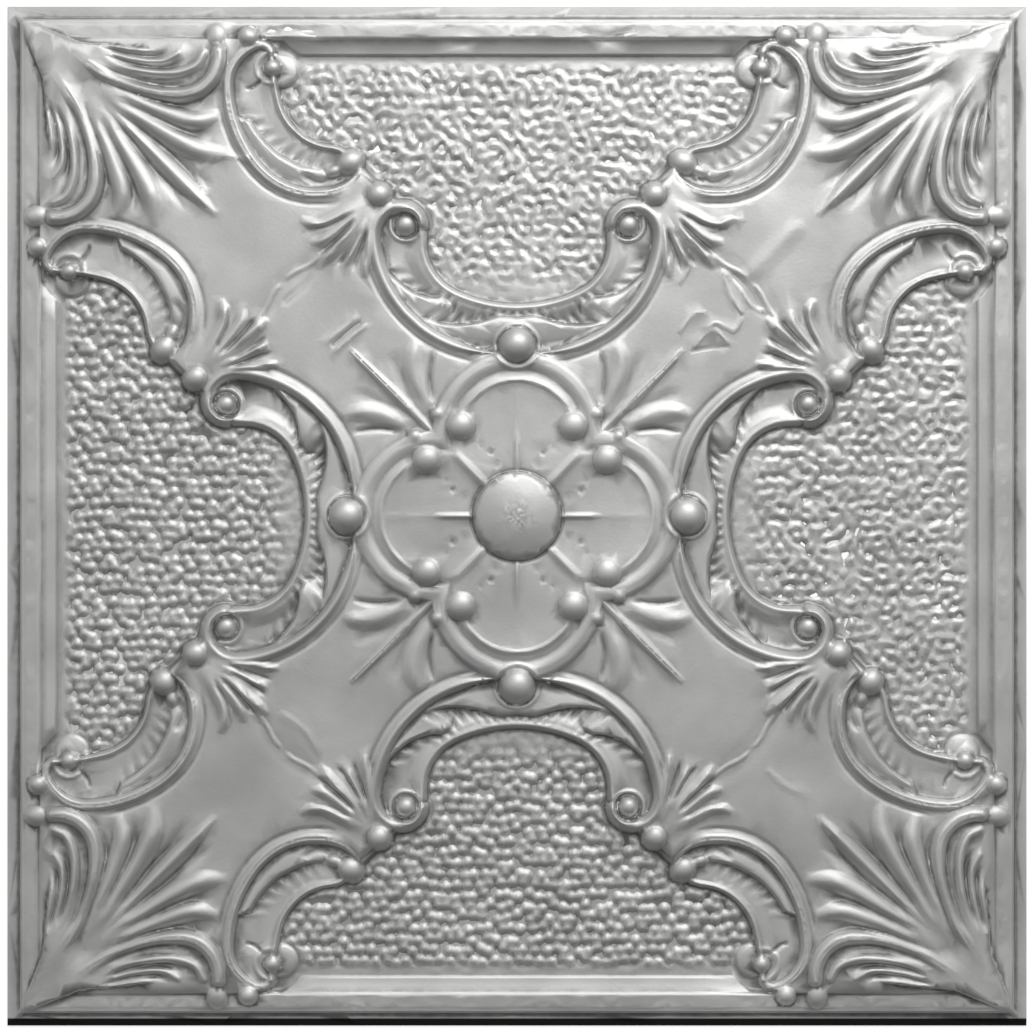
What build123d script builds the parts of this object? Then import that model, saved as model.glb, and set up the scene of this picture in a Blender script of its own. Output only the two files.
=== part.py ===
from build123d import *
from math import cos, radians, sin, sqrt, tan
import os

# A pressed steel ceiling panel, lying face up. The sheet is one stamping: its upper face is
# the stamped relief, and its back follows the main forms one sheet lower.
# X and Y run along the panel's sides, and Z is zero at the back of the nailing flange.
# Levels are heights above the upper face of the flange. Points of the ornament are given for
# the side at +Y: across the side from its middle, then outwards from the panel's middle.

# Sheet and outline
panel_width = 610.0
sheet = 0.6

# Border, from the rim inwards
flange_width = 6.5
band_width = 17.5
strip_width = 7.0
band_level = 4.0
strip_level = 2.0
field_level = 0.5
step_run = 2.0
strip_reach = 138.0
strip_run = 0.5

# Arms: flat slopes that fall from the middle of the panel along its diagonals
arms_crown = 13.6
arms_fall = 0.022

# Pressed slopes. Raised forms start a little below the field, so that they run into it cleanly
flank_angle = 60.0
footing = -1.0

# Arch crescents, at the middle of each side
arch_start = (10.0, 97.05)
arch_heading = -2.4
arch_arcs = [(72.3, 52.7), (74.4, 36.3), (17.9, 83.0), (12.5, 95.4)]
arch_level = 5.6
arch_ridge_level = 12.8
arch_apex = 124.0
arch_inner_arcs = [(1.777, 25.2), (0.678, 65.3)]

# Outer crescents, beside each corner
outer_start = (93.3, 206.1)
outer_heading = -61.7
outer_arcs = [(27.2, 54.5), (46.3, 59.2), (79.2, 36.7), (25.3, 73.7), (7.1, 82.1)]
outer_level = 5.6
outer_ridge_level = 9.8
outer_inner_heading = 66.9
outer_inner_arcs = [(22.7, -60.9), (35.6, 69.5)]

# Beads and knobs have flat facets: how many, and share of radius and rise at the shoulder
bead_sides = 8
knob_sides = 6
shoulder_share = 0.7
shoulder_rise_share = 0.75

# Corner hooks
hook_start = (260.6, 273.7)
hook_heading = 219.1
hook_arcs = [(111.7, -18.8), (77.0, -21.7), (23.1, -95.2)]
hook_rise = 4.8

# Neck between two crescents, under the small bead
neck_rise = 1.0

# Foot of the relief's working solid, which is cut away below the sheet
stock = 8.0

# Rosette
lobe_offset = 47.0
lobe_radius = 54.0
rosette_level = 14.0
lobe_depth = 6.0
boss_radius = 25.5
boss_rise = 8.0
boss_foot = 2.0

# Ribs of the rosette, under its corners: root, belly and tip, width, rise
rib = [(8.0, 8.0), (30.0, 30.0), (53.0, 53.0)]
rib_width = 7.0
rib_rise = 3.0

# Beads with a blunt top: place, radius, level of the foot, rise
big_bead = ((0.0, 101.0), 10.4, 11.0, 9.0)
small_bead = ((82.3, 191.4), 8.0, 6.0, 7.0)

# Scroll eyes and knobs, with a flat top: place, radius, level of the foot, rise
knobs = [
    ((66.5, 173.7), 6.3, 5.2, 5.0),
    ((103.0, 208.0), 6.4, 4.6, 4.4),
    ((161.6, 284.5), 5.4, 4.0, 3.8),
    ((33.5, 53.5), 7.2, 13.6, 4.4),
]

# Leaves of the corner fan, the small-bead fan and the rosette fan: root, belly, tip, width, rise
leaves = [
    ((272.0, 272.0), (222.0, 222.0), (177.0, 177.0), 18.0, 4.6),
    ((262.0, 266.0), (208.0, 229.0), (170.0, 215.5), 14.0, 4.4),
    ((262.0, 270.0), (212.0, 243.0), (176.0, 238.0), 12.0, 3.8),
    ((270.0, 282.0), (224.0, 264.5), (190.0, 274.0), 7.5, 4.2),
    ((88.0, 187.0), (110.0, 174.0), (130.0, 177.0), 9.0, 3.2),
    ((88.0, 185.0), (107.0, 160.0), (134.0, 131.0), 9.0, 3.8),
    ((86.0, 184.0), (93.0, 166.0), (97.0, 147.0), 7.5, 2.8),
    ((46.0, 46.0), (75.0, 75.5), (104.0, 104.5), 16.0, 5.2),
    ((50.0, 54.0), (63.0, 80.0), (64.0, 106.0), 12.0, 4.0),
]
leaf_sink = 2.0

# Palm of the corner fan: outlines of its foot and of its flat top, up to the diagonal
palm_foot = [(297.0, 297.0), (262.0, 284.0), (212.0, 280.5), (212.0, 212.0)]
palm_top = [(272.0, 272.0), (256.0, 272.0), (228.0, 268.0), (228.0, 228.0)]
palm_foot_level = 3.0
palm_level = 7.4

half = panel_width / 2
flange_edge = half - flange_width
band_edge = flange_edge - band_width
strip_edge = band_edge - strip_width


def arms_level(x, y):
    """Height of the arms over a point of the plan: they fall evenly along the diagonals."""
    return arms_crown - arms_fall * (abs(x) + abs(y)) / sqrt(2)


def rosette_top(x, y):
    """Height of the rosette, which is the same over every point of the plan."""
    return rosette_level


def flank_run(height):
    """Plan width that a pressed slope of this height takes."""
    return height / tan(radians(flank_angle))


def square_frustum(low_half, high_half, low, high):
    """Square block between two levels, with sloping sides."""
    with BuildPart() as block:
        with BuildSketch(Plane.XY.offset(low)):
            Rectangle(2 * low_half, 2 * low_half)
        with BuildSketch(Plane.XY.offset(high)):
            Rectangle(2 * high_half, 2 * high_half)
        loft(ruled=True)
    return block.part


def arc_chain(start, heading, arcs, finish=None):
    """List of tangent arcs in order, by radius and turn in degrees, with a last arc to a point."""
    point = Vector(*start)
    direction = Vector(cos(radians(heading)), sin(radians(heading)))
    chain = []
    with BuildLine():
        for radius, turn in arcs:
            arc = JernArc(point, direction, radius, turn)
            point = arc @ 1
            direction = arc % 1
            chain.append(arc.edge())
        if finish is not None:
            last = TangentArc(point, finish, tangent=direction)
            chain.append(last.edge())
    return chain


def ridge(chain, foot, top):
    """Ridge with sloping flanks along a chain of arcs, with a pointed tip at each end."""
    path = Wire(chain)
    foot_half = flank_run(top - foot)
    up = Vector(0, 0, 1)
    with BuildPart() as body:
        sections = []
        for place, outward in ((0, -1), (1, 1)):
            along = (path % place) * outward
            end = path @ place + up * foot
            with BuildSketch(Plane(origin=end, x_dir=up.cross(along), z_dir=along)) as section:
                Polygon((-foot_half, 0), (foot_half, 0), (0, top - foot), align=None)
            loft([section.sketch, Vertex(end + along * foot_half)], ruled=True)
            sections.append(section.sketch)
        sweep(sections=sections[0], path=path.moved(Location((0, 0, foot))))
    return body.part


def knob(place, radius, base, rise, sides):
    """Round knob with flat facets: flanks that reach down to the field, and a flat top."""
    foot = radius + flank_run(base - footing)
    with BuildPart() as body:
        with BuildSketch(Plane.XY.offset(footing)):
            RegularPolygon(foot, sides)
        with BuildSketch(Plane.XY.offset(base + rise * shoulder_rise_share)):
            RegularPolygon(radius * shoulder_share, sides)
        loft(ruled=True)
    return body.part.moved(Location((place[0], place[1], 0)))


def bead(place, radius, base, rise):
    """Larger knob with more facets and a blunt top."""
    with BuildPart() as body:
        add(knob(place, radius, base, rise, bead_sides))
        with BuildSketch(Plane.XY.offset(base + rise * shoulder_rise_share)) as shoulder:
            with Locations(place):
                RegularPolygon(radius * shoulder_share, bead_sides)
        loft([shoulder.sketch, Vertex(place[0], place[1], base + rise)], ruled=True)
    return body.part


def dome(radius, base, rise):
    """Spherical dome at the middle of the panel, on a plain round foot."""
    crown_radius = (radius**2 + rise**2) / (2 * rise)
    with BuildPart() as body:
        with BuildSketch(Plane.XZ):
            with BuildLine():
                Line((0, base - boss_foot), (0, base + rise))
                RadiusArc((0, base + rise), (radius, base), crown_radius)
                Line((radius, base), (radius, base - boss_foot))
                Line((radius, base - boss_foot), (0, base - boss_foot))
            make_face()
        revolve(axis=Axis.Z)
    return body.part


def leaf(root, belly, tip, width, rise, level=arms_level):
    """Pointed leaf with a sharp midrib that may bend at its belly, lying on what carries it."""
    along = Vector(tip[0] - root[0], tip[1] - root[1], 0).normalized()
    across = Vector(0, 0, 1).cross(along)
    root_end, middle, tip_end = [Vector(x, y, level(x, y)) for x, y in (root, belly, tip)]
    down = Vector(0, 0, leaf_sink / 2)
    with BuildPart() as body:
        with BuildSketch(Plane(origin=middle, x_dir=across, z_dir=along)) as section:
            Polygon((-width / 2, -leaf_sink), (width / 2, -leaf_sink), (0, rise), align=None)
        loft([section.sketch, Vertex(root_end - down)], ruled=True)
        loft([section.sketch, Vertex(tip_end - down)], ruled=True)
    return body.part


def both_sides(outline):
    """Outline that is the same on both sides of the diagonal, from its half."""
    return outline + [(y, x) for x, y in reversed(outline[1:-1])]


def plate(outline, level):
    """Flat plate of a crescent, with pressed slopes down to below the field."""
    with BuildPart() as body:
        with BuildSketch(Plane.XY.offset(footing)):
            with BuildLine():
                add(outline)
            make_face()
        extrude(amount=level - footing, taper=90 - flank_angle)
    return body.part


# Curves of the crescents and the hook
arch_outer = arc_chain(arch_start, arch_heading, arch_arcs)
arch_drop = (arch_outer[-1] @ 1).Y - arch_apex
arch_inner = arc_chain(
    (0, arch_apex),
    0,
    [(share * arch_drop, turn) for share, turn in arch_inner_arcs],
    arch_outer[-1] @ 1,
)
outer_outer = arc_chain(outer_start, outer_heading, outer_arcs)
outer_inner = arc_chain(outer_start, outer_inner_heading, outer_inner_arcs, outer_outer[-1] @ 1)
hook = arc_chain(hook_start, hook_heading, hook_arcs)
with BuildLine():
    neck = [Line(arch_outer[2] @ 1, outer_start).edge()]
    arch_base = [
        Line((0, arch_apex), (0, arch_start[1])).edge(),
        Line((0, arch_start[1]), arch_start).edge(),
    ]
neck_level = arms_level(*small_bead[0]) + neck_rise
hook_middle = hook[1] @ 1
hook_level = arms_level(hook_middle.X, hook_middle.Y) + hook_rise

# Outline of the sunk field of one side, up to the arms
field_corner = outer_outer[3] @ 1
with BuildLine() as field_line:
    add(arch_outer[:3])
    Line((0, arch_start[1]), arch_start)
    Line(arch_outer[2] @ 1, outer_start)
    add(outer_outer[:4])
    Line(field_corner, (field_corner.X, half))
    Line((field_corner.X, half), (0, half))
    Line((0, half), (0, arch_start[1]))


def sheet_forms(arms_taper):
    """Box that carries the border and the arms, whose walls along the field may slope."""
    pan_half = band_edge - flank_run(band_level - field_level)
    with BuildPart() as arms:
        arms_reach = (arms_crown - footing) / arms_fall
        with BuildSketch(Plane.XY.offset(footing), mode=Mode.PRIVATE) as arms_foot:
            Rectangle(2 * arms_reach, 2 * arms_reach, rotation=45)
        loft([arms_foot.sketch, Vertex(0, 0, arms_crown)], ruled=True)
        add(square_frustum(pan_half + step_run, pan_half - step_run, footing, arms_crown), mode=Mode.INTERSECT)
        with BuildSketch(Plane.XY.offset(footing)):
            make_face(field_line.edges())
        extrude(amount=arms_crown - footing, taper=arms_taper, mode=Mode.SUBTRACT)
    with BuildPart() as body:
        with Locations((0, 0, -stock)):
            Box(half, half, stock, align=(Align.MIN, Align.MIN, Align.MIN))
        add(square_frustum(flange_edge, flange_edge - flank_run(band_level), 0, band_level))
        add(square_frustum(pan_half, band_edge, field_level, band_level), mode=Mode.SUBTRACT)
        with BuildSketch(Plane.XY.offset(footing)):
            Polygon(
                (-strip_reach, strip_edge - strip_run),
                (strip_reach, strip_edge - strip_run),
                (strip_reach + strip_width, band_edge + step_run),
                (-strip_reach, band_edge + step_run),
                align=None,
            )
        extrude(amount=strip_level - footing, taper=90 - flank_angle)
        add(arms.part)

        # Rosette: four round lobes
        lobe_foot = rosette_level - lobe_depth
        for place in ((0, lobe_offset), (lobe_offset, 0)):
            with Locations((place[0], place[1], lobe_foot)):
                Cone(
                    lobe_radius + flank_run(lobe_depth),
                    lobe_radius,
                    lobe_depth,
                    align=(Align.CENTER, Align.CENTER, Align.MIN),
                )
    return body.part


# Whole relief: the sheet's forms with all the ornament
with BuildPart() as relief:
    add(sheet_forms(0))

    add(dome(boss_radius, rosette_level, boss_rise))

    # Crescents: a plate with sloping walls, and a ridge along its outer side
    add(plate(arch_outer + arch_inner + arch_base, arch_level))
    add(plate(outer_outer + outer_inner, outer_level))
    add(ridge(arch_outer, footing, arch_ridge_level))
    add(ridge(outer_outer[:4], footing, outer_ridge_level))
    add(ridge(neck, footing, neck_level))

    # Corner fan: palm and hook
    add(ridge(hook, footing, hook_level))
    with BuildSketch(Plane.XY.offset(palm_foot_level)):
        Polygon(*both_sides(palm_foot), align=None)
    with BuildSketch(Plane.XY.offset(palm_level)):
        Polygon(*both_sides(palm_top), align=None)
    loft(ruled=True)

    # Leaves of all fans, the rosette's ribs, beads and knobs
    for root, belly, tip, width, rise in leaves:
        add(leaf(root, belly, tip, width, rise))
    add(leaf(*rib, rib_width, rib_rise, rosette_top))
    add(bead(*big_bead))
    add(bead(*small_bead))
    for place, radius, base, rise in knobs:
        add(knob(place, radius, base, rise, knob_sides))

# Back of the sheet: the main forms only, because the ornament is too narrow to show there
back_forms = sheet_forms(flank_angle - 90)


def pressed_faces(whole):
    """Faces that the press forms on one eighth of a relief: not its underside, rim or cut planes."""
    with BuildPart() as eighth:
        add(whole)
        with BuildSketch(Plane.XY.offset(-stock)):
            Polygon((0, 0), (0, half), (half, half), align=None)
        extrude(amount=stock + 4 * arms_crown, mode=Mode.INTERSECT)
    chosen = []
    for face in eighth.part.faces():
        middle = face.center()
        upright = abs(face.normal_at(middle).Z) < 0.001
        if not upright and middle.Z > -stock / 2:
            chosen.append(face)
    return chosen


# The whole panel: the upper skin, the lower skin one sheet below, and the rim between them
with BuildPart() as pressed_panel:
    with BuildLine() as rim_line:
        Line((0, half), (half, half))
    rim_face = Face.extrude(rim_line.edge(), (0, 0, -sheet))
    upper = pressed_faces(relief.part)
    lower = [face.moved(Location((0, 0, -sheet))) for face in pressed_faces(back_forms)]
    one_eighth = upper + lower + [rim_face]
    side = one_eighth + [face.mirror(Plane.YZ) for face in one_eighth]
    skin = [face.rotate(Axis.Z, 90 * quarter) for quarter in range(4) for face in side]
    add(Solid(Shell(skin)).moved(Location((0, 0, sheet))), clean=False)

pressed_panel.part.label = "pressed_panel"
os.makedirs("parts", exist_ok=True)
export_step(pressed_panel.part, "parts/pressed_panel.step")
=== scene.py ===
import math

import bpy
import numpy as np
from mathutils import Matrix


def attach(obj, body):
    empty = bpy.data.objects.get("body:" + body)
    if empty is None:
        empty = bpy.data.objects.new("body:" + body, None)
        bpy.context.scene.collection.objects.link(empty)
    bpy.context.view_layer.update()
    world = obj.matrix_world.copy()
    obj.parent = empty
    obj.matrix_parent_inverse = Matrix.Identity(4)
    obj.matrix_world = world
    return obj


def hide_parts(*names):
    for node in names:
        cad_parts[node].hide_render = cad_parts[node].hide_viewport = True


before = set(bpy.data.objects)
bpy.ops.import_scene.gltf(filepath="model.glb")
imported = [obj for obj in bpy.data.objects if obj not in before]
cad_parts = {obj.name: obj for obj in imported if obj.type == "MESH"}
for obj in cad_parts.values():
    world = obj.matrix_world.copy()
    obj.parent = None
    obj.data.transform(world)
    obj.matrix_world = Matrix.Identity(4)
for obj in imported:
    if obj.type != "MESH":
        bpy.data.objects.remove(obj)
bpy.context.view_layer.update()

MM = 0.001
FAR = 1.0e6
ROOT2 = math.sqrt(2)

# Grid and meshes
CELLS = 407
FRONT_FACES = 168000
BACK_FACES = 24000
SEED = 7

# Outline of the sheet
HALF = 305.0
SHEET = 0.6
FLANGE_START = 299.5
TOP_LIMIT = 21.9

# Levels and rises
FIELD_LEVEL = 1.3
FIELD_SWELL = 1.6
STRIP_RISE = 1.6
BAND_LEVEL = 4.4
BAND_GROOVE = 0.5
ARM_LEVEL = 13.6
ARM_FALL = 0.022
PALM_LEVEL = 5.2
PALM_SWELL = 3.0
PALM_FADE = 5.5
FOLD_DIP = 0.8
LOBE_LEVEL = 14.9
LOBE_FALL = 0.02
BOSS_FOOT = 16.0
BOSS_RISE = 5.6

# Distances from the centre
STRIP_START = 274.6
BAND_START = 284.0
BAND_FLAT = 285.6
BAND_END = 295.8
PALM_END = 301.5
FOLD_PLACE = 190.5
LOBE_CENTRE = 47.0
ARC_CENTRE = 45.0

# Widths
STEP = 1.6
BAND_WALL = 2.6
GROOVE_WIDTH = 0.75
LOBE_RADIUS = 56
ARC_RADIUS = 36.0
BOSS_RADIUS = 27.6
FILLET = 0.8

pitch = HALF / CELLS
axis = np.arange(CELLS + 1) * pitch
U, V = np.meshgrid(axis, axis, indexing="ij")
small, large = np.minimum(U, V), np.maximum(U, V)


def smooth(t):
    """Smooth step from 0 to 1."""
    t = np.clip(t, 0.0, 1.0)
    return t * t * (3 - 2 * t)


def bell(distance, width):
    """Bell curve: 1 at no distance, next to nothing beyond twice the width."""
    return np.exp(-((distance / width) ** 2))


def merge(a, b, k):
    """Higher of two heights, with a soft fillet where they meet."""
    h = np.clip(0.5 + 0.5 * (a - b) / k, 0.0, 1.0)
    return b * (1 - h) + a * h + k * h * (1 - h)


def arcs_from(start, heading, arcs, finish=None, spacing=1.2):
    """Points along tangent arcs given by radius and turn, one array per arc.

    With a finish, one more tangent arc ends there.
    """
    x, y = start
    a = math.radians(heading)
    turns = [(r, math.radians(t)) for r, t in arcs]
    chain = []
    while turns or finish:
        if turns:
            radius, turn = turns.pop(0)
        else:
            chord = math.hypot(finish[0] - x, finish[1] - y)
            turn = 2 * (math.atan2(finish[1] - y, finish[0] - x) - a)
            turn = (turn + math.pi) % (2 * math.pi) - math.pi
            radius = chord / (2 * abs(math.sin(turn / 2)))
            finish = None
        side = 1 if turn > 0 else -1
        cx = x - side * radius * math.sin(a)
        cy = y + side * radius * math.cos(a)
        count = max(3, int(abs(turn) * radius / spacing))
        b = a + turn * np.arange(count + 1) / count
        chain.append(np.stack([cx + side * radius * np.sin(b), cy - side * radius * np.cos(b)], 1))
        x, y = chain[-1][-1]
        a += turn
    return chain


def joined(parts):
    """One list of points out of arcs that follow each other."""
    return np.concatenate([parts[0]] + [p[1:] for p in parts[1:]])


def through(points, spacing=1.2):
    """Smooth curve through a few points."""
    p = np.array(points, float)
    p = np.concatenate([[2 * p[0] - p[1]], p, [2 * p[-1] - p[-2]]])
    out = []
    for k in range(1, len(p) - 2):
        n = max(2, int(np.hypot(*(p[k + 1] - p[k])) / spacing))
        t = (np.arange(n) / n)[:, None]
        out.append(0.5 * (2 * p[k] + (p[k + 1] - p[k - 1]) * t
                          + (2 * p[k - 1] - 5 * p[k] + 4 * p[k + 1] - p[k + 2]) * t ** 2
                          + (3 * p[k] - p[k - 1] - 3 * p[k + 1] + p[k + 2]) * t ** 3))
    out.append(p[-2][None])
    return np.concatenate(out)


def trace(points, reach):
    """Distance to a line, share of its length at the nearest point, and the length itself."""
    near = np.full(U.shape, FAR)
    share = np.zeros(U.shape)
    steps = np.hypot(*np.diff(points, axis=0).T)
    total = steps.sum()
    done = 0.0
    for k, length in enumerate(steps):
        a, b = points[k], points[k + 1]
        lo = np.maximum(((np.minimum(a, b) - reach) / pitch).astype(int), 0)
        hi = np.minimum(((np.maximum(a, b) + reach) / pitch).astype(int) + 2, CELLS + 1)
        if (hi > lo).all() and length > 0:
            w = (slice(lo[0], hi[0]), slice(lo[1], hi[1]))
            dx, dy = (b - a) / length
            px, py = U[w] - a[0], V[w] - a[1]
            t = np.clip(px * dx + py * dy, 0, length)
            d = np.hypot(px - t * dx, py - t * dy)
            closer = d < near[w]
            near[w] = np.where(closer, d, near[w])
            share[w] = np.where(closer, (done + t) / total, share[w])
        done += length
    return near, share, total


def within(points):
    """True inside a closed outline."""
    inside = np.zeros(U.shape, bool)
    for (ax, ay), (bx, by) in zip(points, np.roll(points, -1, axis=0)):
        if ay == by:
            continue
        crossing = (ay > V) != (by > V)
        inside ^= crossing & (U < (bx - ax) * (V - ay) / (by - ay) + ax)
    return inside


def along(share, stops):
    """Value at a share of a line's length, from (share, value) stops."""
    return np.interp(share, [s for s, _ in stops], [v for _, v in stops])


# Curves of the crescents: the arch ones open to the centre, the outer ones to the corners
arch_outer = arcs_from((10.0, 97.05), -2.4,
                       [(72.3, 52.7), (74.4, 36.3), (17.9, 83.0), (12.5, 95.4)])
arch_line = joined(arch_outer)
arch_inner = joined(arcs_from((0.0, 124.0), 0.0, [(88.3, 25.2), (33.7, 65.3)],
                              tuple(arch_line[-1])))
outer_outer = arcs_from((93.3, 206.1), -61.7,
                        [(27.2, 54.5), (46.3, 59.2), (79.2, 36.7), (25.3, 73.7), (7.1, 82.1)])
outer_line = joined(outer_outer)
outer_inner = joined(arcs_from((93.3, 206.1), 66.9, [(22.7, -60.9), (35.6, 69.5)],
                               tuple(outer_line[-1])))
neck = np.array([arch_outer[2][-1], outer_outer[0][0]])
field_corner = outer_outer[3][-1]

# Ground: arms and sunk fields, with a slope between them
arms = ARM_LEVEL - ARM_FALL * (U + V) / ROOT2
field = FIELD_LEVEL + FIELD_SWELL * smooth((175 - V) / 50) * smooth((70 - U) / 50)
edge_line = joined([joined(arch_outer[:3]), neck, joined(outer_outer[:4])])
field_zone = within(np.concatenate(
    [edge_line, [(field_corner[0], HALF + 5), (-5, HALF + 5), (-5, 97.0)]]))
edge_near = trace(edge_line, 12)[0]
depth = np.where(field_zone, edge_near, -edge_near)
ground = field + (arms - field) * smooth((2.0 - depth) / 4.0)

# Ground: mitred strip, band, groove and wall down to the flange
strip_end = 138.0 - (283.0 - V) * 1.2
strip = STRIP_RISE * smooth((V - STRIP_START) / STEP) * smooth((strip_end - U) / 2.0 + 0.5)
ground = np.maximum(ground, FIELD_LEVEL + strip)
ground = ground + (BAND_LEVEL - ground) * smooth((large - BAND_START) / STEP)
ground = np.where(large > BAND_FLAT, BAND_LEVEL, ground)
ground = ground * (1 - smooth((large - BAND_END) / BAND_WALL))
ground = ground - BAND_GROOVE * bell(large - 295.2, 1.0)
height = ground.copy()


def lay(level, k=FILLET):
    """Lays a form over the relief."""
    height[:] = merge(height, level, k)


def knob(place, radius, base, rise, k=0.6, squash=1.0, turn=0.0):
    """Raises a round bead: place, radius, level of its foot and rise."""
    c, s = math.cos(math.radians(turn)), math.sin(math.radians(turn))
    px, py = U - place[0], V - place[1]
    r = np.hypot(px * c + py * s, (py * c - px * s) * squash)
    ball = (radius ** 2 + rise ** 2) / (2 * rise)
    top = base + rise - ball + np.sqrt(np.maximum(ball ** 2 - r ** 2, 0.0))
    skirt = np.where(r < radius * 1.3, base - (r - radius) * 3.0, -FAR)
    lay(np.where(r < radius, top, skirt), k)


LEAF_WIDTHS = [(0, 1.0), (0.5, 1.0), (0.85, 0.75), (1, 0.35)]
LEAF_RISES = [(0, 0.0), (0.35, 0.9), (0.8, 1.0), (1, 0.0)]


def leaf(points, width, rise, sharp=0.0, groove=0.0, widths=LEAF_WIDTHS, rises=LEAF_RISES):
    """Adds one leaf of a fan: greatest half width and rise, sharp crest or grooved top.

    The half width and the rise change along the leaf by (share of the length, factor) stops.
    """
    widths = [(s, v * width) for s, v in widths]
    reach = max(v for _, v in widths) * 1.8
    near, share, _ = trace(through(points), reach)
    q = near / along(share, widths)
    lift = along(share, [(s, v * rise) for s, v in rises])
    shape = (1 - sharp) * (1 - q ** 2) + sharp * (1 - 1.35 * q)
    sunk_end = 1.2 * FILLET * (1 - smooth(lift / 0.8))
    level = ground + lift * shape - groove * bell(near, GROOVE_WIDTH) - sunk_end
    lay(np.where(near < reach * 0.98, level, -FAR))


def crease(points, width, drop, ends=0.25):
    """Lowers the relief along a line that fades at both ends, or raises it by a negative drop."""
    near, share, _ = trace(through(points), width * 3)
    fade = smooth(share / ends) * smooth((1 - share) / ends)
    height[:] -= np.where(near < width * 3, drop * fade * bell(near, width), 0.0)


# Palm of the corner fan lies over the band: places of its edge, then its level
palm_edge = np.interp(small, [150.0, 200.0, 222.0, 261.0, 293.0, 303.0],
                      [277.0, 278.5, 279.5, 283.5, 296.5, 303.0])
palm_depth = palm_edge - large
palm_level = ((PALM_LEVEL + PALM_SWELL * smooth((300 - small) / 40))
              * smooth((PALM_END - large) / 9))
palm = np.where(palm_depth > -2.5, palm_level * smooth((palm_depth + 1.4) / 2.8), -FAR)
palm = palm - PALM_FADE * smooth((272 - large) / 30) - PALM_FADE * smooth((226 - small) / 22)
lay(np.where((large < 301) & (small > 200), palm, -FAR), 0.6)

# Corner fan: middle leaf, two side leaves, the hook and two thin leaves behind it
leaf([(263, 263), (236, 236), (206, 206.5), (177, 177)], 8.8, 3.4, sharp=0.9,
     widths=[(0, 1.3), (0.4, 1.0), (0.8, 0.75), (1, 0.3)],
     rises=[(0, 0.0), (0.35, 0.8), (0.85, 1.0), (1, 0.0)])
leaf([(260, 264), (235, 246), (206, 226.5), (188, 217.4), (170, 216.8)], 8.8, 4.2, sharp=0.15)
leaf([(256, 266), (232, 251), (211, 241), (192.5, 235.5), (175, 239.5)], 7.6, 4.0, sharp=0.1)
hook_line = joined(arcs_from((260.6, 273.7), 219.1,
                             [(111.7, -18.8), (77.0, -21.7), (23.1, -95.2)]))
hook_points = [tuple(p) for p in hook_line[::8]] + [tuple(hook_line[-1])]
leaf([(289, 292), (276, 284)] + hook_points, 5.6, 5.6, groove=0.6,
     widths=[(0, 0.5), (0.25, 0.9), (0.7, 1.0), (1, 0.9)],
     rises=[(0, 0.0), (0.3, 0.7), (0.6, 1.0), (1, 0.9)])
leaf([(264, 279), (245, 271), (228, 266), (207, 263.7), (192, 268), (187, 276)], 3.2, 3.6,
     rises=[(0, 0.0), (0.5, 1.0), (1, 0.6)], widths=[(0, 0.7), (0.5, 1.0), (1, 0.9)])
leaf([(262, 281.5), (244, 275), (228, 271.5), (212, 271), (202, 276)], 2.6, 2.6,
     rises=[(0, 0.0), (0.5, 1.0), (1, 0.5)], widths=[(0, 0.7), (0.5, 1.0), (1, 0.8)])
for points, width, drop in (
        ([(250, 268), (230, 259.5), (210, 256), (194, 260)], 1.9, 2.0),
        ([(248, 276), (228, 269.5), (209, 268), (196, 273)], 1.6, 2.4),
        ([(250, 280.5), (232, 275.5), (216, 274.5), (207, 278)], 1.5, 2.6),
        ([(250, 262), (222, 250), (202, 245.5), (184, 250)], 2.6, 1.7),
        ([(244, 251), (216, 237), (197, 228.5), (178, 228)], 2.4, 1.8),
        ([(238, 243), (212, 220), (193, 204.5), (178, 194)], 3.0, 1.6),
        ([(219, 228), (203, 213), (192, 200), (186, 190)], 0.9, 0.7)):
    crease(points, width, drop)
knob((179.0, 286.0), 7.0, 4.2, 4.4, squash=0.8)

# Small-bead fans: a shell whose rim is fluted
for points, width, rise, sharp in (
        ([(86, 189), (104, 179), (118, 173.5), (131, 177.5)], 5.6, 2.8, 0.4),
        ([(86, 188), (104, 172), (116, 164), (125, 163)], 5.0, 2.4, 0.3),
        ([(88, 185), (103, 166), (119, 147)], 6.4, 3.2, 0.7),
        ([(86, 184), (95, 165), (103, 147)], 4.4, 2.6, 0.6),
        ([(84, 183), (88, 163), (91, 140)], 4.4, 2.6, 0.5)):
    leaf(points, width, rise, sharp)
for points, width, drop in (
        ([(97, 181), (112, 173), (126, 170.5)], 1.3, 1.6),
        ([(95, 177), (108, 164), (119, 154)], 1.7, 2.2),
        ([(92, 172), (100, 158), (108, 148)], 1.1, 1.6),
        ([(88, 172), (94, 157), (98, 144)], 1.1, 1.4),
        ([(83, 174), (84, 158), (86, 144)], 1.4, 1.0)):
    crease(points, width, drop)

# Rosette fans: a sharp keel on the diagonal and a leaf on each side
leaf([(44, 44), (72, 73), (101, 102)], 4.2, 2.6, sharp=1.0,
     widths=[(0, 0.5), (0.4, 1.1), (1, 0.3)], rises=[(0, 0.5), (0.3, 0.9), (0.85, 0.7), (1, 0)])
leaf([(50, 58), (59, 76), (62, 92), (59, 106)], 7.6, 2.3, sharp=0.35)
crease([(56, 63), (68, 82), (76, 100)], 3.4, 0.9)
crease([(50, 66), (52, 84), (49, 101)], 1.8, 1.5)

# Fold across each arm: a dip and a crest
fold_depth = (U + V) / ROOT2 - FOLD_PLACE + 0.2 * np.abs(U - V) / ROOT2
fold_reach = smooth((30 - np.abs(U - V) / ROOT2) / 12)
height -= fold_reach * FOLD_DIP * bell(fold_depth - 7, 6)
crease([(101, 167), (113, 158), (124, 149.5), (133, 145), (139.5, 139.5)], 1.2, -0.9, ends=0.12)


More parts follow.
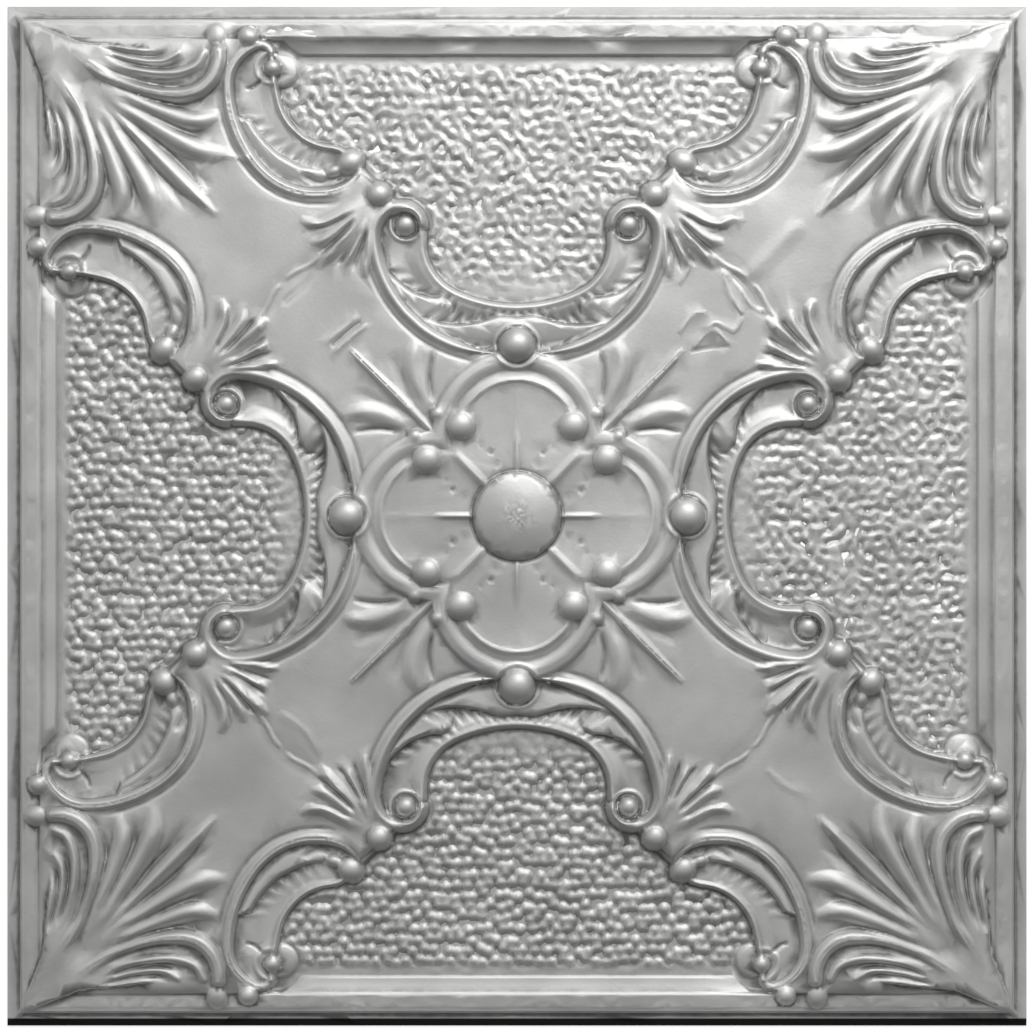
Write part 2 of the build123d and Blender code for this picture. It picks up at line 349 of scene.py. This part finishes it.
def crescent(outer, inner, ends, teeth, levels, flutes):
    """Dished leaf between two curves: plate, overlapping edges, flutes and inner band.

    Each tooth has the stops of its edge and the shares between which it rises; levels are those
    of plate, pit and band; flutes have a spacing and a rise. Returns where the crescent is.
    """
    zone = within(np.concatenate([outer, inner[::-1], ends]))
    far, share, _ = trace(outer, 40)
    close, low_share, low_total = trace(inner, 40)
    t = far / (far + close + 1e-6)
    plate, pit, band = levels
    spacing, flute_rise = flutes
    body = pit + (band - pit) * smooth((t - 0.6) / 0.3)
    for stops, rise_from, rise_to in teeth:
        edge = along(share, stops)
        ramp = smooth((share - rise_from) / (rise_to - rise_from))
        wave = np.cos(2 * math.pi * (low_share * low_total / spacing + 1.2 * t))
        comb = (np.clip((t - edge) / 0.06, 0, 1) * np.clip((edge + 0.42 - t) / 0.3, 0, 1)
                * (edge > 0))
        body = body + flute_rise * wave * comb * smooth((edge - 0.05) / 0.1)
        lip = plate + 1.6 * smooth(t / np.maximum(edge, 0.05)) - 0.9 * smooth((0.3 - t) / 0.3)
        body = body + (lip - body) * smooth((edge - t) * 10 + 0.5) * ramp
    height[zone] = body[zone]
    return zone


arch_zone = crescent(
    arch_line, arch_inner, [(-5.0, 124.0), (-5.0, 97.0)],
    [([(0.18, 0.3), (0.26, 0.78), (0.33, 0.78), (0.44, 0.44), (0.58, 0.14), (0.64, -0.6)],
      0.20, 0.33),
     ([(0.0, 0.80), (0.05, 0.72), (0.18, 0.46), (0.34, 0.16), (0.42, -0.6)], -0.4, -0.2)],
    (7.4, 3.4, 6.2), (5.4, 0.5))
outer_zone = crescent(
    outer_line, outer_inner, np.zeros((0, 2)),
    [([(0.0, -0.6), (0.08, 0.2), (0.16, 0.5), (0.35, 0.5), (0.6, 0.34), (0.74, -0.6)],
      0.05, 0.3)],
    (5.8, 4.0, 4.6), (5.6, 0.35))
off_crescents = np.where(arch_zone | outer_zone, 0.0, 1.0)


def rail(points, half_width, tops, foot, groove=0.0, widths=((0, 1), (1, 1))):
    """Raises a ridge to absolute levels along a line, its foot lower than its top by foot."""
    near, share, _ = trace(points, half_width * 1.7)
    wide = half_width * along(share, widths)
    level = along(share, tops) - foot * (near / wide) ** 2 - groove * bell(near, GROOVE_WIDTH)
    lay(np.where(near < wide * 1.65, level, -FAR), 0.7)


# Ridges along the crescents, and the dip outside each
rail(through([(-3, 124), (0, 124)] + [tuple(p) for p in arch_inner[2::6]]), 2.8,
     [(0, 7.2), (1, 6.8)], foot=3.0)
rail(outer_inner, 2.2, [(0, 6.4), (1, 6.2)], foot=3.4)
rail(arch_line, 4.4,
     [(0, 11.4), (0.03, 12.2), (0.1, 13.2), (0.5, 12.4), (0.75, 11.2), (1, 8.6)], foot=5.0,
     widths=[(0, 0.1), (0.04, 0.3), (0.16, 0.95), (0.6, 1.0), (1, 0.8)])
rail(outer_line, 4.1, [(0, 8.0), (0.15, 10.6), (0.6, 9.8), (0.85, 8.4), (1, 6.6)], foot=4.4,
     groove=1.0, widths=[(0, 0.5), (0.15, 1.0), (0.8, 1.0), (1, 0.7)])
rail(neck, 2.2, [(0, 7.4), (1, 6.6)], foot=2.4)
for line, start in ((arch_line, 0.06), (outer_line, 0.1)):
    near, share, _ = trace(line, 16)
    dip = bell(near - 5.8, 1.3) * smooth((share - start) / 0.06) * smooth((0.72 - share) / 0.08)
    height -= 0.9 * dip * off_crescents

# Notches in the outer crescent, by its lower and its upper eye
crease([(108, 203.5), (118, 199), (130, 205)], 2.2, 1.6)
crease([(163, 255), (157, 256.5), (151, 262)], 1.1, 1.5, ends=0.2)

# Rosette: a lobe with its ring and arc
lobe_r = np.hypot(U, V - LOBE_CENTRE)
lobe_level = LOBE_LEVEL - LOBE_FALL * np.maximum(V, 0)
lobe = np.where(lobe_r < LOBE_RADIUS, lobe_level, -FAR)
lobe = lobe - 5.0 * smooth((lobe_r - 49.5) / 4.5) - 0.7 * bell(lobe_r - 39.8, 1.8)
lobe = lobe + 0.8 * bell(lobe_r - 45.5, 2.8)
in_lobe = V >= U
height[:] = np.where(in_lobe, merge(height, lobe, FILLET), height)
arc_r = np.hypot(U, V - ARC_CENTRE)
arc_angle = np.degrees(np.arctan2(V - ARC_CENTRE, U))
height += 1.1 * smooth((arc_angle - 20) / 22) * bell(arc_r - ARC_RADIUS, 1.3)
height -= 0.6 * smooth((35 - arc_r) / 14) * in_lobe

# Rosette: vein of the lobe, rib on the diagonal, knobs, dots and boss
vein = (bell(U, 1.5) * smooth((V - 24) / 3)
        * (1.1 * smooth((52 - V) / 10) + 0.25 * smooth((82 - V) / 8)))
height += vein
rib_across, rib_along = (V - U) / ROOT2, (U + V) / ROOT2
height += 1.3 * bell(rib_across, 2.4) * smooth((rib_along - 24) / 4) * smooth((58 - rib_along) / 10)
knob((33.5, 53.5), 9.2, 13.2, 5.0)
knob((47.0, 60.5), 4.4, 13.0, 2.4)
for (du, dv), reach, drop in (((15.5, 38.0), 1.7, 1.0), ((21.5, 41.5), 1.4, 0.5),
                              ((12.0, 31.0), 2.4, 0.6)):
    height -= drop * np.exp(-(((U - du) ** 2 + (V - dv) ** 2) / reach ** 2))
boss_r = np.hypot(U, V)
dome = (BOSS_FOOT + BOSS_RISE * np.maximum(1 - (boss_r / BOSS_RADIUS) ** 2, 0)
        - np.maximum(boss_r - 25.6, 0) * 3)
lay(np.where(boss_r < 27.5, dome, -FAR), 0.5)
height -= 0.7 * bell(boss_r - 27.4, 1.0)

# Beads and scroll eyes, from the rosette out to the band
height += 1.1 * bell(np.hypot(U, V - 101.0) - 13.2, 1.3)
knob((0.0, 101.0), 11.2, 10.2, 9.6)
knob((82.3, 191.4), 8.0, 6.2, 7.4)
height += 1.6 * bell(np.hypot(U - 66.5, V - 173.7) - 9.4, 1.1)
knob((66.5, 173.7), 6.3, 4.6, 5.4)
knob((99.5, 211.0), 9.0, 3.2, 6.4, squash=1.1, turn=-35)
knob((109.0, 206.0), 5.4, 4.4, 2.4, k=1.6, squash=1.5, turn=-20)
disc = 3.2 - 3.1 * smooth((np.hypot(U - 141.0, V - 266.0) - 8.5) / 3.5)
lay(np.where(disc > 0.25, disc, -FAR))
height += 1.1 * bell(np.hypot(U - 147.0, V - 267.5) - 9.2, 1.2) * smooth((U - 141) / 5)
knob((146.0, 267.5), 5.2, 4.2, 4.4)
knob((160.5, 286.0), 6.4, 4.2, 5.8)


def whole(part):
    """Whole panel from one quarter."""
    mirrored = np.where(V >= U, part, part.T)
    spread = np.abs(np.arange(-CELLS, CELLS + 1))
    return mirrored[spread][:, spread]


LINES = 2 * CELLS + 1
line = np.arange(-CELLS, CELLS + 1) * pitch
X, Y = np.meshgrid(line, line, indexing="ij")
outwards = np.maximum(np.abs(X), np.abs(Y))
frequency = np.hypot(*np.meshgrid(np.fft.fftfreq(LINES, pitch), np.fft.fftfreq(LINES, pitch),
                                  indexing="ij"))
relief = whole(height)
rng = np.random.default_rng(SEED)


def soft_noise(wave):
    """Even noise with features of one size, in mm, from -1 to 1 or so."""
    keep = np.exp(-(((frequency - 1 / wave) * wave / 0.35) ** 2))
    made = np.fft.ifft2(np.fft.fft2(rng.standard_normal((LINES, LINES))) * keep).real
    return made / made.std() / 2


def pebbles(size):
    """Distance to the nearest of many scattered points, as a share of their spacing."""
    count = int(2 * HALF / size) + 4
    gx = (np.arange(count)[:, None] - 2 + np.zeros((1, count))) * size - HALF
    gy = gx.T
    gx = gx + (np.arange(count)[None, :] % 2) * size / 2
    gx = gx + rng.uniform(-0.3, 0.3, gx.shape) * size
    gy = gy + rng.uniform(-0.3, 0.3, gy.shape) * size
    ix = ((X + HALF) / size).astype(int) + 2
    iy = ((Y + HALF) / size).astype(int) + 2
    best = np.full(X.shape, FAR)
    for ox in (-2, -1, 0, 1, 2):
        for oy in (-1, 0, 1, 2):
            jx, jy = np.clip(ix + ox, 0, count - 1), np.clip(iy + oy, 0, count - 1)
            best = np.minimum(best, np.hypot(X - gx[jx, jy], Y - gy[jx, jy]))
    return best / size


def blurred(a, size):
    """Height averaged over its surroundings."""
    return np.fft.ifft2(np.fft.fft2(a) * np.exp(-((frequency * size) ** 2) * 3)).real


# Hammered fields: round pebbles, run together into short waves at the top and on the right
calm = (smooth((depth - 3.5) / 5) * (0.25 + 0.75 * smooth((V - 132) / 24))
        * smooth((272.0 - V) / 7))
calm = calm * off_crescents
calm *= smooth((np.hypot(U - 142, V - 266.5) - 11) / 4)
calm *= (smooth((trace(arch_inner, 9)[0] - 2.5) / 4)
         * smooth((trace(outer_inner, 9)[0] - 2.5) / 4))
calm *= smooth((trace(arch_line, 9)[0] - 4.5) / 4)
cells = pebbles(6.5)
waves = soft_noise(6.6)
wavy = np.maximum(smooth((Y - 60) / 120) * smooth((Y - np.abs(X)) / 40 + 0.5),
                  smooth((X - 90) / 120) * smooth((X - np.abs(Y)) / 40 + 0.5))
round_part = blurred(1.8 * np.maximum(1 - (cells / 0.56) ** 2, -0.5), 1.1) - 0.2
stipple = round_part * (1 - 0.45 * wavy) + (0.12 + 0.42 * wavy) * waves
relief = relief + whole(calm) * stipple

# Hand of time: slow waves, an uneven band, soft arms and a worn spot on the boss
relief = relief + 0.2 * soft_noise(46.0) * smooth((HALF - 4 - outwards) / 12)
on_band = smooth((outwards - 286.5) / 2) * smooth((294 - outwards) / 2)
relief = (relief + 0.26 * soft_noise(11.0) * on_band
          + 0.14 * soft_noise(26.0) * smooth((outwards - 286) / 2))
on_arms = whole((depth < -6) * 1.0) * smooth((278 - outwards) / 6)
relief = relief + 0.05 * soft_noise(12.0) * on_arms
relief = relief + 0.4 * bell(np.hypot(X, Y), 8.0) * soft_noise(2.4)

# Dents and creases of this panel, in its plan: points, width, rise (or fall)
dents = (
    ([(123, 146), (133, 136), (139, 126), (147, 122)], 1.1, 0.8),
    ([(123, 144), (127, 131), (134, 121)], 1.0, 0.7),
    ([(129, 142), (138, 133), (143, 124)], 2.2, -0.9),
    ([(113, 112), (119, 115), (129, 110), (134, 117)], 1.0, 0.7),
    ([(106, 101), (116, 111), (126, 103)], 1.0, 0.7),
    ([(104, 98), (114, 100), (124, 101)], 1.0, -0.6),
    ([(140, 145), (152, 157), (166, 171)], 5.0, 0.9),
    ([(102, 158), (104, 150), (97, 139)], 1.1, 0.6),
    ([(97, 110), (105, 120), (111, 121)], 1.2, 0.6),
    ([(119, 171), (125, 177), (134, 176)], 1.1, 0.6),
    ([(-108, 98), (-99, 106), (-90, 113)], 1.2, 0.8),
    ([(-113, 104), (-104, 111), (-95, 118)], 1.2, 0.7),
    ([(-109, 102), (-101, 109), (-94, 114)], 1.0, -0.9),
    ([(-123, 143), (-128, 136), (-137, 128)], 2.6, -0.7),
    ([(-186, 193), (-190, 205), (-176, 214), (-160, 213)], 1.6, 0.6),
    ([(150, -152), (160, -161), (172, -166)], 2.0, 0.5),
    ([(-140, -118), (-128, -126), (-118, -140)], 1.8, 0.5),
    ([(215, 290), (225, 287), (236, 291)], 1.6, -0.7),
    ([(-150, 288), (-138, 291), (-120, 288)], 2.0, -0.6),
    ([(40, 289), (52, 286), (70, 290)], 2.0, -0.6),
)
for points, width, rise in dents:
    points = through(points, 0.8)
    centre = points.mean(axis=0)
    reach = np.hypot(*(points - centre).T).max() + width * 3
    lo = np.maximum(((centre - reach + HALF) / pitch).astype(int), 0)
    hi = np.minimum(((centre + reach + HALF) / pitch).astype(int) + 1, LINES)
    w = (slice(lo[0], hi[0]), slice(lo[1], hi[1]))
    near = np.min([np.hypot(X[w] - px, Y[w] - py) for px, py in points], axis=0)
    relief[w] += rise * bell(near, width)

# Flange stays flat; the hollow share, from -1 on crests to 1 in pits, places the painted shade in
# the hollows
flat_rim = smooth((outwards - FLANGE_START) / 1.0)
relief = np.maximum(relief, 0.0) * (1 - flat_rim)
relief = np.minimum(relief, TOP_LIMIT)
under = np.maximum(whole(height), 0.0) * (1 - flat_rim)
hollow = np.clip(0.6 * (blurred(relief, 9.0) - relief) / 2.2
                 + 0.7 * (blurred(relief, 3.2) - relief) / 0.8, -1, 1)


def skin(heights, step, faces, flip=False):
    """Points in metres and triangles of a height grid, thinned to about this many triangles."""
    n = len(line[::step])
    co = np.stack([np.repeat(line[::step], n), np.tile(line[::step], n),
                   heights[::step, ::step].ravel()], 1) * MM
    i, j = np.meshgrid(np.arange(n - 1), np.arange(n - 1), indexing="ij")
    a = (i * n + j).ravel()
    quads = np.stack([a, a + n, a + n + 1, a + 1], 1)
    if flip:
        quads = quads[:, ::-1]
    me = bpy.data.meshes.new("skin_work")
    me.vertices.add(len(co))
    me.vertices.foreach_set("co", co.astype(np.float32).ravel())
    me.loops.add(quads.size)
    me.loops.foreach_set("vertex_index", quads.astype(np.int32).ravel())
    me.polygons.add(len(quads))
    me.polygons.foreach_set("loop_start", (np.arange(len(quads)) * 4).astype(np.int32))
    me.update(calc_edges=True)
    work = bpy.data.objects.new("skin_work", me)
    bpy.context.scene.collection.objects.link(work)
    cut = work.modifiers.new("thin", "DECIMATE")
    cut.ratio = min(1.0, faces / (2.0 * len(quads)))
    solved = work.evaluated_get(bpy.context.evaluated_depsgraph_get())
    made = solved.to_mesh()
    made.calc_loop_triangles()
    points = np.zeros(len(made.vertices) * 3, np.float32)
    made.vertices.foreach_get("co", points)
    triangles = np.zeros(len(made.loop_triangles) * 3, np.int32)
    made.loop_triangles.foreach_get("vertices", triangles)
    solved.to_mesh_clear()
    bpy.data.objects.remove(work)
    bpy.data.meshes.remove(me)
    return points.reshape(-1, 3), triangles.reshape(-1, 3)


front_co, front_tri = skin(relief + SHEET, 1, FRONT_FACES)
back_co, back_tri = skin(under, 2, BACK_FACES, flip=True)

# Rim faces between the two skins
side_points = np.array([(-HALF, -HALF), (HALF, -HALF), (HALF, HALF), (-HALF, HALF)])
rim_co = np.array([(x, y, z) for z in (0, SHEET) for x, y in side_points]) * MM
rim_tri = np.array([face for k in range(4) for face in (
    (k, (k + 1) % 4, 4 + (k + 1) % 4), (k, 4 + (k + 1) % 4, 4 + k))])

rim_first = len(front_co) + len(back_co)
co = np.concatenate([front_co, back_co, rim_co])
co[:, 2] = np.maximum(co[:, 2], 0)
tri = np.concatenate([front_tri, back_tri + len(front_co), rim_tri + rim_first])


def sampled(values, points):
    """Grid values at points of the plan, in metres."""
    gx = np.clip((points[:, 0] / MM / pitch) + CELLS, 0, 2 * CELLS - 1e-4)
    gy = np.clip((points[:, 1] / MM / pitch) + CELLS, 0, 2 * CELLS - 1e-4)
    i, j = gx.astype(int), gy.astype(int)
    fx, fy = gx - i, gy - j
    return ((values[i, j] * (1 - fx) + values[i + 1, j] * fx) * (1 - fy)
            + (values[i, j + 1] * (1 - fx) + values[i + 1, j + 1] * fx) * fy)


def normals_of(points, heights, sign):
    """Normals of a height grid at points of the plan."""
    slope_x, slope_y = np.gradient(heights, pitch)
    n = np.stack([-sampled(slope_x, points), -sampled(slope_y, points),
                  np.ones(len(points))], 1) * sign
    return n / np.linalg.norm(n, axis=1)[:, None]


# The sheet: one mesh that carries the hollow share and the relief's own normals
mesh = bpy.data.meshes.new("pressed_panel_skin")
mesh.from_pydata(co.tolist(), [], tri.tolist())
mesh.update()
shades = np.concatenate([sampled(hollow, front_co), np.zeros(len(back_co) + len(rim_co))])
mesh.attributes.new("hollow", "FLOAT", "POINT").data.foreach_set(
    "value", shades.astype(np.float32))
mesh.polygons.foreach_set("use_smooth", np.ones(len(tri), bool))
normals = np.concatenate([normals_of(front_co, relief, 1), normals_of(back_co, under, -1),
                          np.zeros((len(rim_co), 3))])
corner = tri.ravel()
corner_normals = normals[corner]
face_normals = np.zeros(len(tri) * 3, np.float32)
mesh.polygons.foreach_get("normal", face_normals)
flat = np.repeat(face_normals.reshape(-1, 3), 3, axis=0)
on_rim = corner >= rim_first
corner_normals[on_rim] = flat[on_rim]
mesh.normals_split_custom_set(corner_normals.tolist())
panel = bpy.data.objects.new("pressed_panel_sheet", mesh)
bpy.context.scene.collection.objects.link(panel)
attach(panel, "root")
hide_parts("pressed_panel")

# Finish: silver paint on old steel
PAINT_DARK = (0.52, 0.52, 0.515, 1)
PAINT_PALE = (0.66, 0.66, 0.65, 1)
# painted shade: dark colour laid into the hollows and creases, speckled by noise
HOLLOW_SHADE = (0.10, 0.10, 0.095, 1)
# painted shadow: near-black strip along the bottom edge of the flange, where the band's shadow
# falls
EDGE_SHADOW = (0.012, 0.012, 0.012, 1)
SHADOW_FROM, SHADOW_TO = -0.3002, -0.3012
METALLIC = 0.85
ROUGH_LOW, ROUGH_HIGH = 0.42, 0.55


def node(tree, kind, inputs=(), **settings):
    """New node in a tree, with settings and (input, value) pairs."""
    made = tree.nodes.new(kind)
    for key, value in settings.items():
        setattr(made, key, value)
    for key, value in inputs:
        made.inputs[key].default_value = value
    return made


def paint():
    """Satin silver paint with soft mottling, painted shade in the hollows and a painted shadow
    along the bottom edge.
    """
    mat = bpy.data.materials.new("silver_paint")
    mat.use_nodes = True
    tree = mat.node_tree
    link = tree.links.new
    for old in list(tree.nodes):
        tree.nodes.remove(old)
    out = node(tree, "ShaderNodeOutputMaterial")
    surface = node(tree, "ShaderNodeBsdfPrincipled", [("Metallic", METALLIC)])
    place = node(tree, "ShaderNodeTexCoord")
    mottle, specks, fine = [
        node(tree, "ShaderNodeTexNoise", [("Scale", scale), ("Detail", detail)])
        for scale, detail in ((22.0, 6.0), (140.0, 5.0), (520.0, 3.0))]
    for noise in (mottle, specks, fine):
        link(place.outputs["Object"], noise.inputs["Vector"])
    tone = node(tree, "ShaderNodeValToRGB")
    for stop, position, colour in zip(tone.color_ramp.elements, (0.3, 0.7),
                                      (PAINT_DARK, PAINT_PALE)):
        stop.position = position
        stop.color = colour
    # painted shade: the hollow share darkens the paint in pits and creases
    pit = node(tree, "ShaderNodeAttribute", attribute_name="hollow")
    shade_range = node(tree, "ShaderNodeMapRange", [("From Min", 0.06), ("From Max", 0.65)])
    shade_amount = node(tree, "ShaderNodeMath", operation="MULTIPLY")
    dark = node(tree, "ShaderNodeMix", data_type="RGBA")
    dark.inputs[7].default_value = HOLLOW_SHADE
    split = node(tree, "ShaderNodeSeparateXYZ")
    # painted shadow: the paint turns near black below y = -0.3 m, along the bottom edge
    edge = node(tree, "ShaderNodeMapRange", [("From Min", SHADOW_FROM), ("From Max", SHADOW_TO)],
                interpolation_type="SMOOTHSTEP")
    shadow_mix = node(tree, "ShaderNodeMix", data_type="RGBA")
    shadow_mix.inputs[7].default_value = EDGE_SHADOW
    rough = node(tree, "ShaderNodeMapRange", [("To Min", ROUGH_LOW), ("To Max", ROUGH_HIGH)])
    bump = node(tree, "ShaderNodeBump", [("Strength", 0.12), ("Distance", 0.0006)])
    for source, target in (
            (surface.outputs[0], out.inputs[0]),
            (mottle.outputs[0], tone.inputs[0]),
            (pit.outputs["Fac"], shade_range.inputs["Value"]),
            (shade_range.outputs[0], shade_amount.inputs[0]),
            (specks.outputs[0], shade_amount.inputs[1]),
            (shade_amount.outputs[0], dark.inputs["Factor"]),
            (tone.outputs[0], dark.inputs[6]),
            (place.outputs["Object"], split.inputs[0]),
            (split.outputs["Y"], edge.inputs["Value"]),
            (edge.outputs[0], shadow_mix.inputs["Factor"]),
            (dark.outputs[2], shadow_mix.inputs[6]),
            (shadow_mix.outputs[2], surface.inputs["Base Color"]),
            (mottle.outputs[0], rough.inputs["Value"]),
            (rough.outputs[0], surface.inputs["Roughness"]),
            (fine.outputs[0], bump.inputs["Height"]),
            (bump.outputs[0], surface.inputs["Normal"])):
        link(source, target)
    return mat


mesh.materials.append(paint())

# Floor: pale, and lifted to white in the picture only
FLOOR_REACH = 4
FLOOR_GAP = 0.0002
FLOOR_GREY = 0.86
FLOOR_LIFT = 0.5
floor_mesh = bpy.data.meshes.new("floor")
floor_mesh.from_pydata([(x * FLOOR_REACH, y * FLOOR_REACH, 0)
                        for x, y in ((-1, -1), (1, -1), (1, 1), (-1, 1))], [], [(0, 1, 2, 3)])
floor = bpy.data.objects.new("floor", floor_mesh)
floor.location.z = -FLOOR_GAP
bpy.context.scene.collection.objects.link(floor)
floor_mat = bpy.data.materials.new("floor_pale")
floor_mat.use_nodes = True
floor_tree = floor_mat.node_tree
matt = floor_tree.nodes["Principled BSDF"]
matt.inputs["Base Color"].default_value = (FLOOR_GREY, FLOOR_GREY, FLOOR_GREY, 1)
matt.inputs["Roughness"].default_value = 0.8
matt.inputs["Emission Color"].default_value = (1, 1, 1, 1)
seen = node(floor_tree, "ShaderNodeLightPath")
lift = node(floor_tree, "ShaderNodeMath", [(1, FLOOR_LIFT)], operation="MULTIPLY")
floor_tree.links.new(seen.outputs["Is Camera Ray"], lift.inputs[0])
floor_tree.links.new(lift.outputs[0], matt.inputs["Emission Strength"])
floor_mesh.materials.append(floor_mat)

# World: soft light, brighter from the top side and from above, plain white in the picture
world = bpy.data.worlds.new("studio")
bpy.context.scene.world = world
world.use_nodes = True
sky = world.node_tree
back = sky.nodes["Background"]
back.inputs["Strength"].default_value = 1.05
coords = node(sky, "ShaderNodeTexCoord")
parts = node(sky, "ShaderNodeSeparateXYZ")
fade = node(sky, "ShaderNodeMapRange", [("From Min", -0.75), ("From Max", 0.75),
                                        ("To Min", 0.17), ("To Max", 0.95)],
            interpolation_type="SMOOTHSTEP")
rise = node(sky, "ShaderNodeMapRange", [("From Min", -0.1), ("From Max", 0.8),
                                        ("To Min", 0.35)],
            interpolation_type="SMOOTHSTEP")
lit = node(sky, "ShaderNodeMath", operation="MULTIPLY")
path = node(sky, "ShaderNodeLightPath")
shown = node(sky, "ShaderNodeMix", [("B", 1.0)])
for source, target in (
        (coords.outputs["Generated"], parts.inputs[0]),
        (parts.outputs["Y"], fade.inputs["Value"]),
        (parts.outputs["Z"], rise.inputs["Value"]),
        (fade.outputs[0], lit.inputs[0]),
        (rise.outputs[0], lit.inputs[1]),
        (path.outputs["Is Camera Ray"], shown.inputs["Factor"]),
        (lit.outputs[0], shown.inputs["A"]),
        (shown.outputs["Result"], back.inputs["Color"])):
    sky.links.new(source, target)

# Lamp: a wide window beyond the top side
LAMP_SIZE = (1.1, 0.8)
LAMP_POWER = 6.8
LAMP_PLACE = (0.34, 0.85, 0.62)
LAMP_TILT = -54
lamp_data = bpy.data.lights.new("window", "AREA")
lamp_data.shape = "RECTANGLE"
lamp_data.size, lamp_data.size_y = LAMP_SIZE
lamp_data.energy = LAMP_POWER
lamp = bpy.data.objects.new("window", lamp_data)
lamp.location = LAMP_PLACE
lamp.rotation_euler = (math.radians(LAMP_TILT), 0, 0)
bpy.context.scene.collection.objects.link(lamp)

# Camera: straight above, so far off that the panel takes its share of the frame's width
LENS = 100.0
SENSOR = 36.0
FRAME_WIDTH = 1034
PANEL_PIXELS = 1019
cam_data = bpy.data.cameras.new("camera")
cam_data.lens = LENS
cam_data.sensor_width = SENSOR
cam_data.clip_start = 0.05
cam_data.clip_end = 20
cam = bpy.data.objects.new("camera", cam_data)
distance = LENS / SENSOR * (2 * HALF * MM) * FRAME_WIDTH / PANEL_PIXELS
cam.location = (0, 0, distance + SHEET * MM)
bpy.context.scene.collection.objects.link(cam)
bpy.context.scene.camera = cam
bpy.context.scene.view_settings.view_transform = "Standard"
